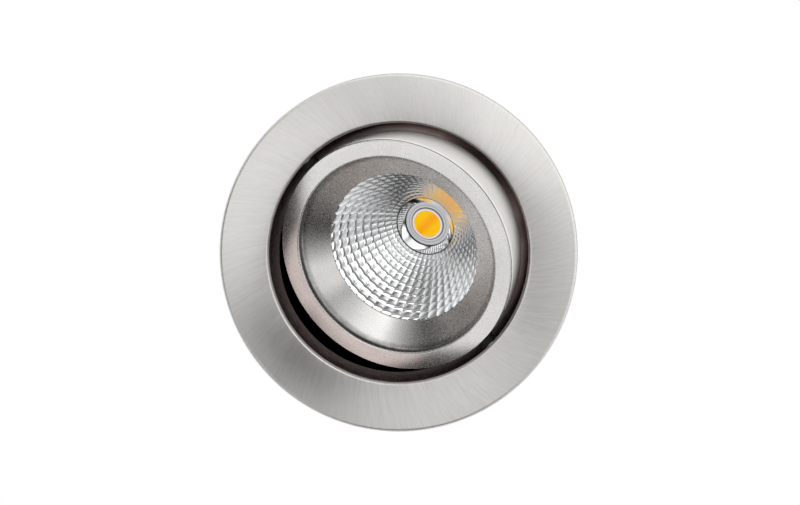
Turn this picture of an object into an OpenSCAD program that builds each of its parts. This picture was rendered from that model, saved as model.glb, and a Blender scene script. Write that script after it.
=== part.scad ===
// Recessed soffit downlight. A brushed flange ring with a sleeve carries a swivel ring, and a
// spherical head with a faceted reflector tilts on two pins inside that ring. Two sprung clips on
// the sleeve clamp the light behind the soffit board.
// +Z points up into the soffit, and z = 0 is the soffit face that the gasket seals against.
// Distances along the head's own axis are counted from the tilt pivot, positive to the rear.

/* [Trim ring] */
// How far the flange covers the soffit outside the cut-out
flange_cover = 5; // [4:0.1:9]
// Thickness of the flange at its outer edge
flange_edge = 2; // [1.6:0.1:3]
// How much further the flange's face stands out at the opening than at its edge
face_cone = 1; // [0.4:0.1:1.6]
// Radius that rounds the flange's outer edge
edge_round = 0.8; // [0.4:0.1:1.2]
// Bright bevel round the opening
opening_bevel = 0.35; // [0.2:0.05:0.6]
// Diameter of the round opening
opening_d = 61.3; // [60:0.1:63]
// Depth of the plain lip in front of the swivel ring
lip_depth = 2.4; // [2:0.1:2.6]
// Wall of the sleeve
sleeve_wall = 1.5; // [1.2:0.1:1.8]
// Room for the clips' brackets between the sleeve and the cut-out, on the radius
clip_room = 3.52; // [3.4:0.02:4.4]
// Gap between the collar and the cut-out, on the radius
cutout_gap = 0.5; // [0.3:0.05:0.6]
// Height of the collar that centres the light in that hole
collar_h = 5; // [3:0.5:5]
// Wall of the collar
collar_wall = 1.3; // [1:0.1:1.4]
// Thickness of the gasket under the flange
gasket_t = 1; // [0.6:0.1:1.4]

/* [Swivel ring] */
// How much wider the swivel ring is than the opening, on the radius
swivel_step = 1.25; // [1.1:0.05:1.5]
// How far the swivel ring reaches behind the pivot
swivel_back = 11; // [10:0.5:12]
// How far the head swivels each way
swivel_turn = 175; // [90:5:175]
// Depth of the stop groove in the ring's outside
stop_groove = 0.7; // [0.5:0.05:0.8]
// Thickness of the slip washer
slip_t = 0.4; // [0.3:0.1:0.6]
// Thickness of the retaining ring
retainer_t = 1; // [0.8:0.1:1.2]
// Depth of the pivot behind the front of the flange
pivot_depth = 6; // [5.8:0.1:7]
// Diameter of the two pivot pins
pivot_d = 2; // [1.6:0.1:2.2]

/* [Head] */
// Tilt of the head away from straight down
head_tilt = 29.5; // [0:0.5:30]
// Gap between the head and the opening, on the radius
head_gap = 1.8; // [1.5:0.1:2.2]
// How far the head's front face stands ahead of the pivot
face_lead = 2.5; // [2.3:0.1:3]
// Width of the flat front ring
bezel_w = 4.05; // [3.8:0.05:5]
// Thickness of the front ring
bezel_t = 0.8; // [0.6:0.05:1]
// Thickness of the smooth bowl
bowl_t = 0.9; // [0.7:0.05:1]
// Depth of the smooth bowl from the front face to the reflector
bowl_depth = 5.8; // [4.8:0.1:6.5]
// Wall of the spherical shell
shell_wall = 1.8; // [1.5:0.1:2]
// Thickness of the seal between front ring and shell
seal_t = 0.2; // [0.15:0.05:0.3]

/* [Reflector] */
// Diameter of the reflector's mouth
reflector_d = 37.2; // [34:0.2:39]
// Depth of the reflector from its mouth to the face of the light source
reflector_depth = 16.3; // [15:0.1:17]
// Inner diameter of the reflector's neck
neck_d = 10.2; // [9:0.1:11]
// Number of facets round the bowl
facet_columns = 48; // [36:2:60]
// Number of facet rows from the mouth down
facet_rows = 9; // [6:1:9]
// Height of a facet row near the mouth
row_h = 1.85; // [1.5:0.05:1.85]
// How far a facet's middle stands into the bowl
facet_rise = 0.12; // [0.05:0.01:0.2]
// Wall of the reflector
reflector_wall = 0.9; // [0.7:0.1:1.1]

/* [Light source] */
// Diameter of the light-emitting disc
disc_d = 6.7; // [5:0.1:8]
// Width of the pale rim round the disc
dam_w = 0.55; // [0.3:0.05:0.6]
// Side of the square board
board_side = 13.5; // [13:0.1:14]
// Thickness of the board
board_t = 1; // [0.8:0.1:1.6]
// Thickness of the thermal pad
pad_t = 0.3; // [0.2:0.1:0.5]
// Room between the ring that holds the board and the screws of the heat sink
holder_gap = 1.6; // [1.2:0.1:2.4]
// Thickness of the holder over the board
holder_lip = 1.1; // [0.8:0.1:1.4]
// Diameter of the holder's screws
holder_screw_d = 2; // [1.6:0.1:2.2]

/* [Heat sink] */
// Length of the heat sink from the board's pad to its rear end
sink_length = 20.6; // [17:0.2:20.6]
// Thickness of its base plate
sink_base = 4.6; // [4:0.1:5]
// Radius of the fins at the rear end
tail_r = 13; // [11:0.5:13]
// Radius of the solid core
core_r = 7; // [6:0.5:8]
// Number of fin places round the core
fin_places = 18; // [15:3:21]
// Thickness of a fin
fin_t = 1.4; // [1:0.1:1.6]
// Diameter of the screws into the shell
sink_screw_d = 2.5; // [2:0.1:2.6]
// Diameter of the lead that the gland takes
lead_d = 4.5; // [3.5:0.1:5]

/* [Spring clips] */
// Thickness of the bracket's sheet
bracket_t = 0.8; // [0.6:0.1:1]
// Width of the bracket over its ears
bracket_w = 10.8; // [10.4:0.1:12]
// Height of the hinge pin above the sleeve's top
clip_pin_rise = 4.8; // [4.6:0.1:6]
// Diameter of the hinge pin
clip_pin_d = 1.6; // [1.4:0.1:1.8]
// Length of the arm from its hinge to the end of its shoe
arm_length = 18.2; // [15:0.2:18.2]
// Width of the arm
arm_w = 7.6; // [7.2:0.1:8]
// Thickness of the arm
arm_t = 0.8; // [0.6:0.1:1]
// Angle of the resting arm away from straight down
arm_rest = 20.9; // [18:0.5:26]
// Diameter of the spring wire
wire_d = 0.7; // [0.5:0.05:0.75]
// Radius of the spring's curls to the middle of the wire
curl_r = 1.7; // [1.5:0.05:1.8]
// Whole curls of the spring
curls = 3; // [2:1:3]

/* [Hidden] */
$fn = 96;

// Clearances
running_gap = 0.08;
pin_gap = 0.05;
axial_play = 0.05;
seat_gap = 0.3;
edge_gap = 0.1;

// Heights of the trim ring, downwards negative
flange_back = -gasket_t;
edge_front = flange_back - flange_edge;
face_front = edge_front - face_cone;
ledge_z = face_front + lip_depth;
pivot_z = face_front + pivot_depth;
swivel_front = ledge_z + slip_t + axial_play;
swivel_top = pivot_z + swivel_back;
retainer_z = swivel_top + edge_gap;
retainer_cover = 1.1;
sleeve_top = retainer_z + retainer_t + retainer_cover;

// Radii from the opening outwards
opening_r = opening_d / 2;
swivel_r = opening_r + swivel_step;
sleeve_in = swivel_r + running_gap;
sleeve_out = sleeve_in + sleeve_wall;
cutout_r = sleeve_out + clip_room;
collar_out = cutout_r - cutout_gap;
flange_r = cutout_r + flange_cover;
retainer_groove = 0.65;
retainer_in = opening_r + seat_gap;
gasket_inset = 0.6;
gasket_gap = 0.9;

// The socket of the swivel ring is a sphere round the pivot
socket_r = opening_r;
socket_back_r = sqrt(pow(socket_r, 2) - pow(swivel_back, 2));

// Stop screw in the sleeve, on the +Y side
stop_rise = 6;
stop_z = pivot_z + stop_rise;
stop_d = 2.5;
stop_tip_d = 2.2;
stop_boss_d = 5.4;
stop_boss_h = 0.8;
stop_boss_out = sleeve_out + stop_boss_h;
stop_key_d = 1.4;
stop_key_depth = 1;
groove_r = swivel_r - stop_groove;
tip_half_angle = asin(stop_tip_d / 2 / groove_r);
bridge_half_angle = 180 - swivel_turn - tip_half_angle - 0.2;
groove_side = 0.3;

// Head, seen from its pivot
head_r = opening_r - head_gap;
face_u = -face_lead;
bezel_r = sqrt(pow(head_r, 2) - pow(face_lead, 2)) - pin_gap;
bezel_bevel = 0.15;
mouth_r = bezel_r - bezel_w;
mouth_lip = 0.35;
bezel_back_u = face_u + bezel_t;
shell_front_u = bezel_back_u + seal_t;
reflector_r = reflector_d / 2;
aperture_u = face_u + bowl_depth;
bowl_edge = 0.3;
reflector_u = aperture_u + bowl_edge;
source_u = reflector_u + reflector_depth;
disc_t = 0.2;
board_u = source_u + disc_t;
pad_u = board_u + board_t;
sink_u = pad_u + pad_t;
sink_back_u = sink_u + sink_base;
tail_u = sink_u + sink_length;
skirt_t = 1;
skirt_out = head_r - shell_wall - pin_gap;
skirt_in = skirt_out - skirt_t;
skirt_end_u = 5.2;
seal_inset = 0.25;
washer_w = 1.2;
washer_d = pivot_d + 2 * washer_w;
pin_end_gap = 0.1;

// The base plate's rim meets the back of the swivel ring just past the full tilt
stop_tilt = 31;
base_r = socket_back_r * cos(stop_tilt) - swivel_back * sin(stop_tilt);
rear_flange_t = 2.6;
shell_cone_u = 11;
sink_screw_edge = 2.6;
sink_screw_r = base_r - sink_screw_edge;
holder_r = sink_screw_r - sink_screw_d / 2 - holder_gap;
holder_room = 0.4;
chamber_r = holder_r + holder_room;
sink_screw_web = 0.4;
lead_hole_r = 1.4;
lead_hole_edge = 3.3;
lead_hole_out = base_r - lead_hole_edge;
lead_angle = 60;

// Smooth bowl: the front curve runs from the mouth to the reflector, turning through bowl_sweep
bowl_sweep = 62;
bowl_reach = (mouth_r - reflector_r) / (1 - cos(bowl_sweep));
bowl_fall = (bowl_depth - mouth_lip) / sin(bowl_sweep);
bowl_steps = 14;

// Clip on the +X side; the one on the other side is the same, turned half round
land_t = 0.3;
land_foot_gap = 0.6;
land_edge = 0.6;
land_w = bracket_w + 2 * land_edge;
land_face = sleeve_out + land_t;
land_foot = collar_h + land_foot_gap;
pin_offset = 0.12;
clip_pin_x = land_face + pin_offset;
clip_pin_z = sleeve_top + clip_pin_rise;
bracket_face = land_face + bracket_t;
bracket_foot = land_foot + seat_gap;
// The arm rests on the top edge of the bracket's plate
plate_offset = bracket_face - clip_pin_x;
bracket_top = clip_pin_z - (plate_offset * cos(arm_rest) + arm_t / 2 + edge_gap) / sin(arm_rest);
ear_r = 1.8;
ear_foot = 3;
ear_slope_h = 2;
ear_slope_x = 0.7;
rivet_d = 2.4;
rivet_head_d = 3.8;
rivet_head_h = 0.9;
rivet_end_gap = 0.15;
rivet_rise = 4;
rivet_z = bracket_foot + rivet_rise;
rivet_y = 2.7;
pin_head_w = 0.4;
pin_head_h = 0.6;
eye_wall = 0.8;
arm_eye_d = clip_pin_d + 2 * eye_wall;
tine_w = 1.2;
tine_gap = arm_w - 2 * tine_w;
slot_length = 4.6;
shoe_length = 4.2;
shoe_wall = 0.7;
shoe_t = arm_t + 2 * shoe_wall;
shoe_side = 0.5;
shoe_end = 0.8;
shoe_w = arm_w + 2 * shoe_side;

// Both legs of the spring leave its coil straight: one bears on the back of the bracket's plate,
// the other on the outside of the arm
wire_off = wire_d / 2 + pin_gap;
plate_leg = 3.9;
plate_leg_lean = atan2(curl_r, plate_leg) - asin((pin_offset + wire_off) / norm([plate_leg, curl_r]));
arm_leg = 7;
arm_leg_lean = arm_rest - atan2(curl_r, arm_leg) + asin((arm_t / 2 + wire_off) / norm([arm_leg, curl_r]));
coil_turn = 180 + plate_leg_lean - arm_leg_lean + 360 * curls;
coil_side_gap = 0.12;
coil_half = (tine_gap - wire_d) / 2 - coil_side_gap;
curl_steps = 8;

// Places children on the head's own axis at its tilt; the beam leans to -X and +Y
module on_head() {
  translate([0, 0, pivot_z])
    rotate(a = head_tilt, v = [1, 1, 0])
      children();
}

// Turns children so that their Z axis lies along the tilt axis
module along_tilt_axis() {
  rotate([0, 0, 45])
    rotate([0, 90, 0])
      children();
}

// Both ends of the tilt axis
module both_pivots() {
  for (side = [0, 180])
    rotate([0, 0, side])
      along_tilt_axis()
        children();
}

// A round bar that points out along +X at a given height
module radial_bar(d, x_from, x_to, z) {
  translate([x_from, 0, z])
    rotate([0, 90, 0])
      cylinder(d = d, h = x_to - x_from);
}

// A plain ring
module ring(r_out, r_in, z_from, z_to) {
  translate([0, 0, z_from])
    difference() {
      cylinder(r = r_out, h = z_to - z_from);
      translate([0, 0, -1])
        cylinder(r = r_in, h = z_to - z_from + 2);
    }
}

module clip_side(side) {
  rotate([0, 0, side])
    children();
}

// ---- Trim ring and what is fixed to it ----

round_steps = 6;

// Section of the casting: flange, collar and sleeve
function flange_round() = [
  for (i = [0:round_steps])
    let (a = 90 * i / round_steps)
    [flange_r - edge_round + edge_round * sin(a), edge_front + edge_round - edge_round * cos(a)]
];

module trim_ring() {
  color("silver")
  difference() {
    union() {
      rotate_extrude()
        polygon(concat(
          [
            [opening_r, face_front + opening_bevel],
            [opening_r + opening_bevel, face_front]
          ],
          flange_round(),
          [
            [flange_r, flange_back],
            [collar_out, flange_back],
            [collar_out, collar_h],
            [collar_out - collar_wall, collar_h],
            [collar_out - collar_wall, flange_back],
            [sleeve_out, flange_back],
            [sleeve_out, sleeve_top],
            [sleeve_in, sleeve_top],
            [sleeve_in, retainer_z + retainer_t],
            [sleeve_in + retainer_groove, retainer_z + retainer_t],
            [sleeve_in + retainer_groove, retainer_z],
            [sleeve_in, retainer_z],
            [sleeve_in, ledge_z],
            [opening_r, ledge_z]
          ]
        ));
      for (side = [0, 180])
        clip_side(side)
          bracket_land();
      stop_boss();
    }
    for (side = [0, 180])
      clip_side(side)
        rivet_places()
          radial_bar(rivet_d, sleeve_in - 1, land_face + 1, rivet_z);
    rotate([0, 0, 90])
      radial_bar(stop_d, sleeve_in - 1, stop_boss_out + 1, stop_z);
  }
}

// Flat land on the sleeve that a clip bracket is riveted to
module bracket_land() {
  difference() {
    translate([sleeve_in, -land_w / 2, land_foot])
      cube([land_face - sleeve_in, land_w, sleeve_top - land_foot]);
    translate([0, 0, land_foot - 1])
      cylinder(r = sleeve_in + sleeve_wall / 2, h = sleeve_top - land_foot + 2);
  }
}

// Boss for the stop screw, kept clear of the ring inside
module stop_boss() {
  rotate([0, 0, 90])
    difference() {
      radial_bar(stop_boss_d, sleeve_in, stop_boss_out, stop_z);
      cylinder(r = sleeve_in + sleeve_wall / 2, h = sleeve_top);
    }
}

module ceiling_gasket() {
  color("dimgray")
  ring(flange_r - gasket_inset, collar_out + gasket_gap, flange_back, 0);
}

module slip_washer() {
  color("ivory")
  ring(sleeve_in - edge_gap, opening_r + edge_gap, ledge_z, ledge_z + slip_t);
}

// Split ring in the sleeve's groove, with an eye at each end for the pliers
module retaining_ring() {
  gap_at = 225;
  gap_angle = 10;
  eye_angle = gap_angle / 2 + 2.5;
  eye_d = 2.6;
  hole_d = 1.1;
  color("slategray")
  difference() {
    union() {
      rotate([0, 0, gap_at + gap_angle / 2])
        rotate_extrude(angle = 360 - gap_angle)
          translate([retainer_in, retainer_z])
            square([sleeve_in + retainer_groove - running_gap - retainer_in, retainer_t]);
      for (way = [-1, 1])
        rotate([0, 0, gap_at + way * eye_angle])
          translate([retainer_in, 0, retainer_z])
            cylinder(d = eye_d, h = retainer_t);
    }
    for (way = [-1, 1])
      rotate([0, 0, gap_at + way * eye_angle])
        translate([retainer_in, 0, retainer_z - 1])
          cylinder(d = hole_d, h = retainer_t + 2);
  }
}

module stop_screw() {
  color("dimgray")
  rotate([0, 0, 90])
    difference() {
      union() {
        radial_bar(stop_tip_d, groove_r + edge_gap, sleeve_in + edge_gap, stop_z);
        radial_bar(stop_d, sleeve_in + edge_gap, stop_boss_out, stop_z);
      }
      translate([stop_boss_out - stop_key_depth, 0, stop_z])
        rotate([0, 90, 0])
          cylinder(d = stop_key_d, h = 2 * stop_key_depth, $fn = 6);
    }
}

// ---- Swivel ring ----

module swivel_ring() {
  color("gray")
  difference() {
    translate([0, 0, swivel_front])
      cylinder(r = swivel_r, h = swivel_top - swivel_front);
    translate([0, 0, pivot_z])
      sphere(r = socket_r);
    // stop groove, open but for the bridge that meets the stop screw
    rotate([0, 0, -90 + bridge_half_angle])
      rotate_extrude(angle = 360 - 2 * bridge_half_angle)
        translate([groove_r, stop_z - stop_tip_d / 2 - groove_side])
          square([stop_groove + 1, stop_tip_d + 2 * groove_side]);
    translate([0, 0, pivot_z])
      both_pivots()
        cylinder(d = pivot_d + 2 * pin_gap, h = swivel_r + 2);
  }
}

// ---- Head ----

module pivot_pins() {
  color("gainsboro")
  on_head()
    both_pivots()
      translate([0, 0, skirt_out + pin_gap])
        cylinder(d = pivot_d, h = swivel_r - pin_end_gap - skirt_out - pin_gap);
}

// Dished washers between the sphere and its socket
module friction_washers() {
  color("black")
  on_head()
    difference() {
      intersection() {
        both_pivots()
          ring(washer_d / 2, pivot_d / 2, head_r - 1, socket_r);
        sphere(r = socket_r - seat_gap);
      }
      sphere(r = head_r);
    }
}

module head_shell() {
  color("silver")
  on_head()
    difference() {
      intersection() {
        sphere(r = head_r);
        rotate_extrude()
          polygon([
            [0, shell_front_u],
            [head_r + 1, shell_front_u],
            [head_r + 1, shell_cone_u],
            [base_r, sink_u],
            [0, sink_u]
          ]);
      }
      // seat of the bezel's skirt
      translate([0, 0, -head_r])
        cylinder(r = skirt_out, h = skirt_end_u + head_r);
      // chamber behind it, following the outside
      intersection() {
        sphere(r = head_r - shell_wall);
        translate([0, 0, skirt_end_u - 1])
          cylinder(r = head_r, h = sink_u - rear_flange_t - skirt_end_u + 1);
      }
      cylinder(r = chamber_r, h = sink_u + 1);
      both_pivots()
        cylinder(d = pivot_d, h = head_r + 3);
      for (i = [0:2])
        rotate([0, 0, 120 * i])
          translate([sink_screw_r, 0, sink_u - rear_flange_t + sink_screw_web])
            cylinder(d = sink_screw_d, h = rear_flange_t);
      rotate([0, 0, lead_angle])
        translate([lead_hole_out, 0, 0])
          cylinder(r = lead_hole_r, h = sink_u + 1);
    }
}

// Front surface of the smooth bowl at turn t, and the same moved back by the sheet
function bowl_front(t) = [
  mouth_r - bowl_reach * (1 - cos(t)),
  face_u + mouth_lip + bowl_fall * sin(t)
];
function bowl_back(t) =
  let (
    across = bowl_fall * cos(t),
    along = bowl_reach * sin(t),
    size = norm([across, along]),
    p = bowl_front(t)
  )
  [p.x + bowl_t * across / size, min(p.y + bowl_t * along / size, reflector_u)];

module front_bezel() {
  bowl_start = asin((bezel_t - mouth_lip) / bowl_fall);
  color("silver")
  on_head()
    rotate_extrude()
      polygon(concat(
        [
          [mouth_r + mouth_lip, face_u],
          [bezel_r - bezel_bevel, face_u],
          [bezel_r, face_u + bezel_bevel],
          [bezel_r, bezel_back_u],
          [skirt_out, bezel_back_u],
          [skirt_out, skirt_end_u],
          [skirt_in, skirt_end_u],
          [skirt_in, bezel_back_u],
          [mouth_r + bowl_t, bezel_back_u]
        ],
        [for (i = [1:bowl_steps]) bowl_back(bowl_start + (bowl_sweep - bowl_start) * i / bowl_steps)],
        [[reflector_r, reflector_u]],
        [for (i = [0:bowl_steps]) bowl_front(bowl_sweep * (1 - i / bowl_steps))]
      ));
}

module bezel_seal() {
  color("black")
  on_head()
    ring(bezel_r - seal_inset, skirt_out, bezel_back_u, shell_front_u);
}

// Reflector bowl: heights are counted from the light source's face towards the mouth
mouth_h = reflector_depth;
neck_h = 0.3;
bowl_power = 0.79;
function bowl_r(h) = neck_d / 2 + (reflector_r - neck_d / 2) * pow(h / mouth_h, bowl_power);

// The first rows are equal, and from the fifth on each is shorter than the last
row_first_cut = 0.1;
row_shrink = 0.155;
equal_rows = 4;
function one_row(i) = i < equal_rows ? row_h : row_h - row_first_cut - row_shrink * (i - equal_rows);
function row_top(i) = i == 0 ? mouth_h : row_top(i - 1) - one_row(i - 1);

holder_top_u = board_u - holder_lip;
foot_h = source_u - holder_top_u;
foot_t = 0.8;
foot_w = 1.3;
foot_step = 1;
neck_room = 2.8;
holder_bore = neck_d / 2 + neck_room;
holder_step_r = holder_bore - foot_step;
foot_r = holder_bore + foot_w;
rim_w = 1.8;
rim_t = 1;
outer_steps = 5;

// Heights of the rings down the inside, the last two closing the smooth neck
inner_heights = concat(
  [for (i = [0:facet_rows]) row_top(i)],
  [(row_top(facet_rows) + neck_h) / 2, neck_h]
);
outer_low = foot_h + foot_t;
outer_high = mouth_h - rim_t;

// Section of the reflector, once round: down the inside, then up the outside
reflector_section = concat(
  [for (h = inner_heights) [bowl_r(h), h]],
  [
    [holder_step_r, neck_h],
    [holder_step_r, foot_h],
    [foot_r, foot_h],
    [foot_r, outer_low]
  ],
  [
    for (i = [0:outer_steps])
      let (h = outer_low + (outer_high - outer_low) * i / outer_steps)
      [bowl_r(h) + reflector_wall * 1.2, h]
  ],
  [
    [reflector_r + rim_w, outer_high],
    [reflector_r + rim_w, mouth_h]
  ]
);

module reflector() {
  rings = len(reflector_section);
  n = facet_columns;
  corners = [
    for (p = reflector_section)
      for (i = [0:n - 1])
        let (a = 360 * i / n)
        [p.x * cos(a), p.x * sin(a), source_u - p.y]
  ];
  middles = [
    for (row = [0:facet_rows - 1])
      let (
        top = inner_heights[row],
        low = inner_heights[row + 1],
        h = (top + low) / 2,
        r = ((bowl_r(top) + bowl_r(low)) / 2) * cos(180 / n),
        slope = atan2(bowl_r(top) - bowl_r(low), top - low)
      )
      for (i = [0:n - 1])
        let (a = 360 * (i + 0.5) / n)
        [
          (r - facet_rise * cos(slope)) * cos(a),
          (r - facet_rise * cos(slope)) * sin(a),
          source_u - (h + facet_rise * sin(slope))
        ]
  ];
  facets = [
    for (row = [0:facet_rows - 1])
      for (i = [0:n - 1])
        let (
          a = row * n + i,
          b = row * n + (i + 1) % n,
          c = (row + 1) * n + (i + 1) % n,
          d = (row + 1) * n + i,
          m = rings * n + row * n + i
        )
        for (f = [[a, b, m], [b, c, m], [c, d, m], [d, a, m]]) f
  ];
  walls = [
    for (k = [facet_rows:rings - 1])
      for (i = [0:n - 1])
        let (next = (k + 1) % rings)
        [k * n + i, k * n + (i + 1) % n, next * n + (i + 1) % n, next * n + i]
  ];
  color("gainsboro")
  on_head()
    polyhedron(points = concat(corners, middles), faces = concat(facets, walls));
}

module led_phosphor() {
  color("orange")
  on_head()
    translate([0, 0, source_u])
      cylinder(d = disc_d, h = board_u - source_u);
}

dam_stand = 0.15;

module led_dam() {
  color("white")
  on_head()
    ring(disc_d / 2 + dam_w, disc_d / 2, source_u - dam_stand, board_u);
}

// Square sheet centred on the head's axis
module square_sheet(side, u_from, u_to) {
  translate([-side / 2, -side / 2, u_from])
    cube([side, side, u_to - u_from]);
}

module led_board() {
  color("whitesmoke")
  on_head()
    square_sheet(board_side, board_u, pad_u);
}

module thermal_pad() {
  color("lightsteelblue")
  on_head()
    square_sheet(board_side, pad_u, sink_u);
}

holder_screw_edge = 1.95;
holder_screw_r = holder_r - holder_screw_edge;
holder_head_w = 0.8;
holder_head_d = holder_screw_d + 2 * holder_head_w;
holder_head_h = 1.4;
holder_key_d = 1.6;
holder_screw_bite = 3;

module holder_screw_places() {
  for (side = [0, 180])
    rotate([0, 0, side])
      translate([holder_screw_r, 0, 0])
        children();
}

module led_holder() {
  color("white")
  on_head()
    difference() {
      translate([0, 0, holder_top_u])
        cylinder(r = holder_r, h = sink_u - holder_top_u);
      translate([0, 0, holder_top_u - 1])
        cylinder(r = holder_bore, h = holder_lip + 1 + board_t / 2);
      square_sheet(board_side, board_u, sink_u + 1);
      holder_screw_places() {
        translate([0, 0, holder_top_u - 1])
          cylinder(d = holder_screw_d, h = sink_u);
        translate([0, 0, holder_top_u - 1])
          cylinder(d = holder_head_d + edge_gap, h = 1 + holder_head_h);
      }
    }
}

// The heads lie flush in the holder, so that the reflector's foot can stand on it
module holder_screws() {
  color("slategray")
  on_head()
    holder_screw_places()
      difference() {
        union() {
          translate([0, 0, holder_top_u])
            cylinder(d = holder_head_d, h = holder_head_h);
          translate([0, 0, holder_top_u])
            cylinder(d = holder_screw_d, h = sink_u + holder_screw_bite - holder_top_u);
        }
        translate([0, 0, holder_top_u - holder_head_h / 2])
          cylinder(d = holder_key_d, h = holder_head_h, $fn = 6);
      }
}

// Outline of the fins from the base plate to the rear end
tail_bevel = 0.8;
fin_steps = 8;
fin_bow = 1.2;
fin_root = 0.5;
function fin_outline() = [
  for (i = [0:fin_steps])
    let (s = i / fin_steps)
    [base_r - (base_r - tail_r) * pow(s, fin_bow), sink_back_u + (tail_u - tail_bevel - sink_back_u) * s]
];

lead_core_gap = 0.35;
lead_core_r = lead_d / 2 + lead_core_gap;
gland_wall = 1.15;
gland_r = lead_d / 2 + gland_wall;
gland_depth = 4;
gland_head_t = 1.2;
gland_lip = 1.1;
gland_lip_end = 0.5;
cross_depth = 2.5;
cross_u = sink_u + cross_depth;

module heat_sink() {
  color("dimgray")
  on_head()
    difference() {
      union() {
        translate([0, 0, sink_u])
          cylinder(r = base_r, h = sink_base);
        translate([0, 0, sink_u])
          cylinder(r = core_r, h = sink_length);
        intersection() {
          fins();
          rotate_extrude()
            polygon(concat(
              [[0, sink_back_u - fin_root], [base_r, sink_back_u - fin_root]],
              fin_outline(),
              [[tail_r - tail_bevel, tail_u], [0, tail_u]]
            ));
        }
      }
      // way of the lead: in at the rear end, across inside the base plate, out beside the holder
      translate([0, 0, cross_u])
        cylinder(r = lead_core_r, h = sink_length);
      translate([0, 0, tail_u - gland_depth])
        cylinder(r = gland_r, h = gland_depth + 1);
      rotate([0, 0, lead_angle])
        radial_bar(2 * lead_hole_r, 0, lead_hole_out, cross_u);
      rotate([0, 0, lead_angle])
        translate([lead_hole_out, 0, sink_u - 1])
          cylinder(r = lead_hole_r, h = cross_u - sink_u + 1);
      for (i = [0:2])
        rotate([0, 0, 120 * i])
          translate([sink_screw_r, 0, sink_u - 1])
            cylinder(d = sink_screw_d + seat_gap, h = sink_base + 2);
      holder_screw_places()
        translate([0, 0, sink_u - 1])
          cylinder(d = holder_screw_d, h = holder_screw_bite + 1);
    }
}

// A fin stands at every place but the three that leave room for the screws
module fins() {
  for (i = [0:fin_places - 1])
    if (i % (fin_places / 3) != 0)
      rotate([0, 0, 360 * i / fin_places])
        translate([core_r - 1, -fin_t / 2, sink_back_u - fin_root])
          cube([base_r, fin_t, tail_u - sink_back_u + fin_root]);
}

sink_head_w = 0.85;
sink_head_h = 1.4;
sink_key_d = 2;

module heat_sink_screws() {
  shank_u = sink_u - rear_flange_t + sink_screw_web;
  color("slategray")
  on_head()
    for (i = [0:2])
      rotate([0, 0, 120 * i])
        translate([sink_screw_r, 0, 0])
          difference() {
            union() {
              translate([0, 0, shank_u])
                cylinder(d = sink_screw_d, h = sink_back_u - shank_u);
              translate([0, 0, sink_back_u])
                cylinder(d = sink_screw_d + 2 * sink_head_w, h = sink_head_h);
            }
            translate([0, 0, sink_back_u + sink_head_h / 3])
              cylinder(d = sink_key_d, h = sink_head_h, $fn = 6);
          }
}

module lead_gland() {
  color("black")
  on_head()
    difference() {
      union() {
        translate([0, 0, tail_u - gland_depth])
          cylinder(r = gland_r, h = gland_depth);
        translate([0, 0, tail_u])
          cylinder(r1 = gland_r + gland_lip, r2 = gland_r + gland_lip_end, h = gland_head_t);
      }
      translate([0, 0, tail_u - gland_depth - 1])
        cylinder(d = lead_d, h = gland_depth + gland_head_t + 2);
    }
}

// ---- Spring clips ----

module rivet_places() {
  for (y = [-rivet_y, rivet_y])
    translate([0, y, 0])
      children();
}

// Ear of the bracket, drawn in x and z: a strip up to a round eye at the pin
module ear_shape() {
  foot = bracket_foot + ear_foot;
  polygon([
    [land_face, foot],
    [bracket_face + ear_slope_x, foot + ear_slope_h],
    [clip_pin_x + ear_r * cos(20), clip_pin_z - ear_r * sin(20)],
    [clip_pin_x - ear_r * cos(20), clip_pin_z - ear_r * sin(20)],
    [land_face, bracket_top]
  ]);
  translate([clip_pin_x, clip_pin_z])
    circle(r = ear_r);
}

// Extrudes an x-z outline between two places along y
module across(y_from, y_to) {
  translate([0, y_to, 0])
    rotate([90, 0, 0])
      linear_extrude(height = y_to - y_from)
        children();
}

module clip_bracket(side) {
  color("lightsteelblue")
  clip_side(side)
    difference() {
      union() {
        translate([land_face, -bracket_w / 2, bracket_foot])
          cube([bracket_t, bracket_w, bracket_top - bracket_foot]);
        for (y = [-bracket_w / 2, bracket_w / 2 - bracket_t])
          across(y, y + bracket_t)
            ear_shape();
      }
      rivet_places()
        radial_bar(rivet_d, land_face - 1, bracket_face + 1, rivet_z);
      translate([clip_pin_x, 0, clip_pin_z])
        rotate([90, 0, 0])
          cylinder(d = clip_pin_d, h = bracket_w + 2, center = true);
    }
}

module clip_rivets() {
  color("silver")
  for (side = [0, 180])
    clip_side(side)
      rivet_places() {
        radial_bar(rivet_d, sleeve_in + rivet_end_gap, bracket_face, rivet_z);
        translate([bracket_face, 0, rivet_z])
          rotate([0, 90, 0])
            cylinder(d1 = rivet_head_d, d2 = rivet_d, h = rivet_head_h);
      }
}

module clip_pin(side) {
  color("gainsboro")
  clip_side(side)
    translate([clip_pin_x, 0, clip_pin_z])
      rotate([90, 0, 0]) {
        cylinder(d = clip_pin_d, h = bracket_w + pin_head_h, center = true);
        for (end = [-1, 1])
          translate([0, 0, end * (bracket_w + pin_head_h) / 2])
            cylinder(d = clip_pin_d + 2 * pin_head_w, h = pin_head_h, center = true);
      }
}

// Places children at the hinge pin with -Z along the resting arm and +X outwards
module on_arm(side) {
  clip_side(side)
    translate([clip_pin_x, 0, clip_pin_z])
      rotate([0, -arm_rest, 0])
        children();
}

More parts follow.
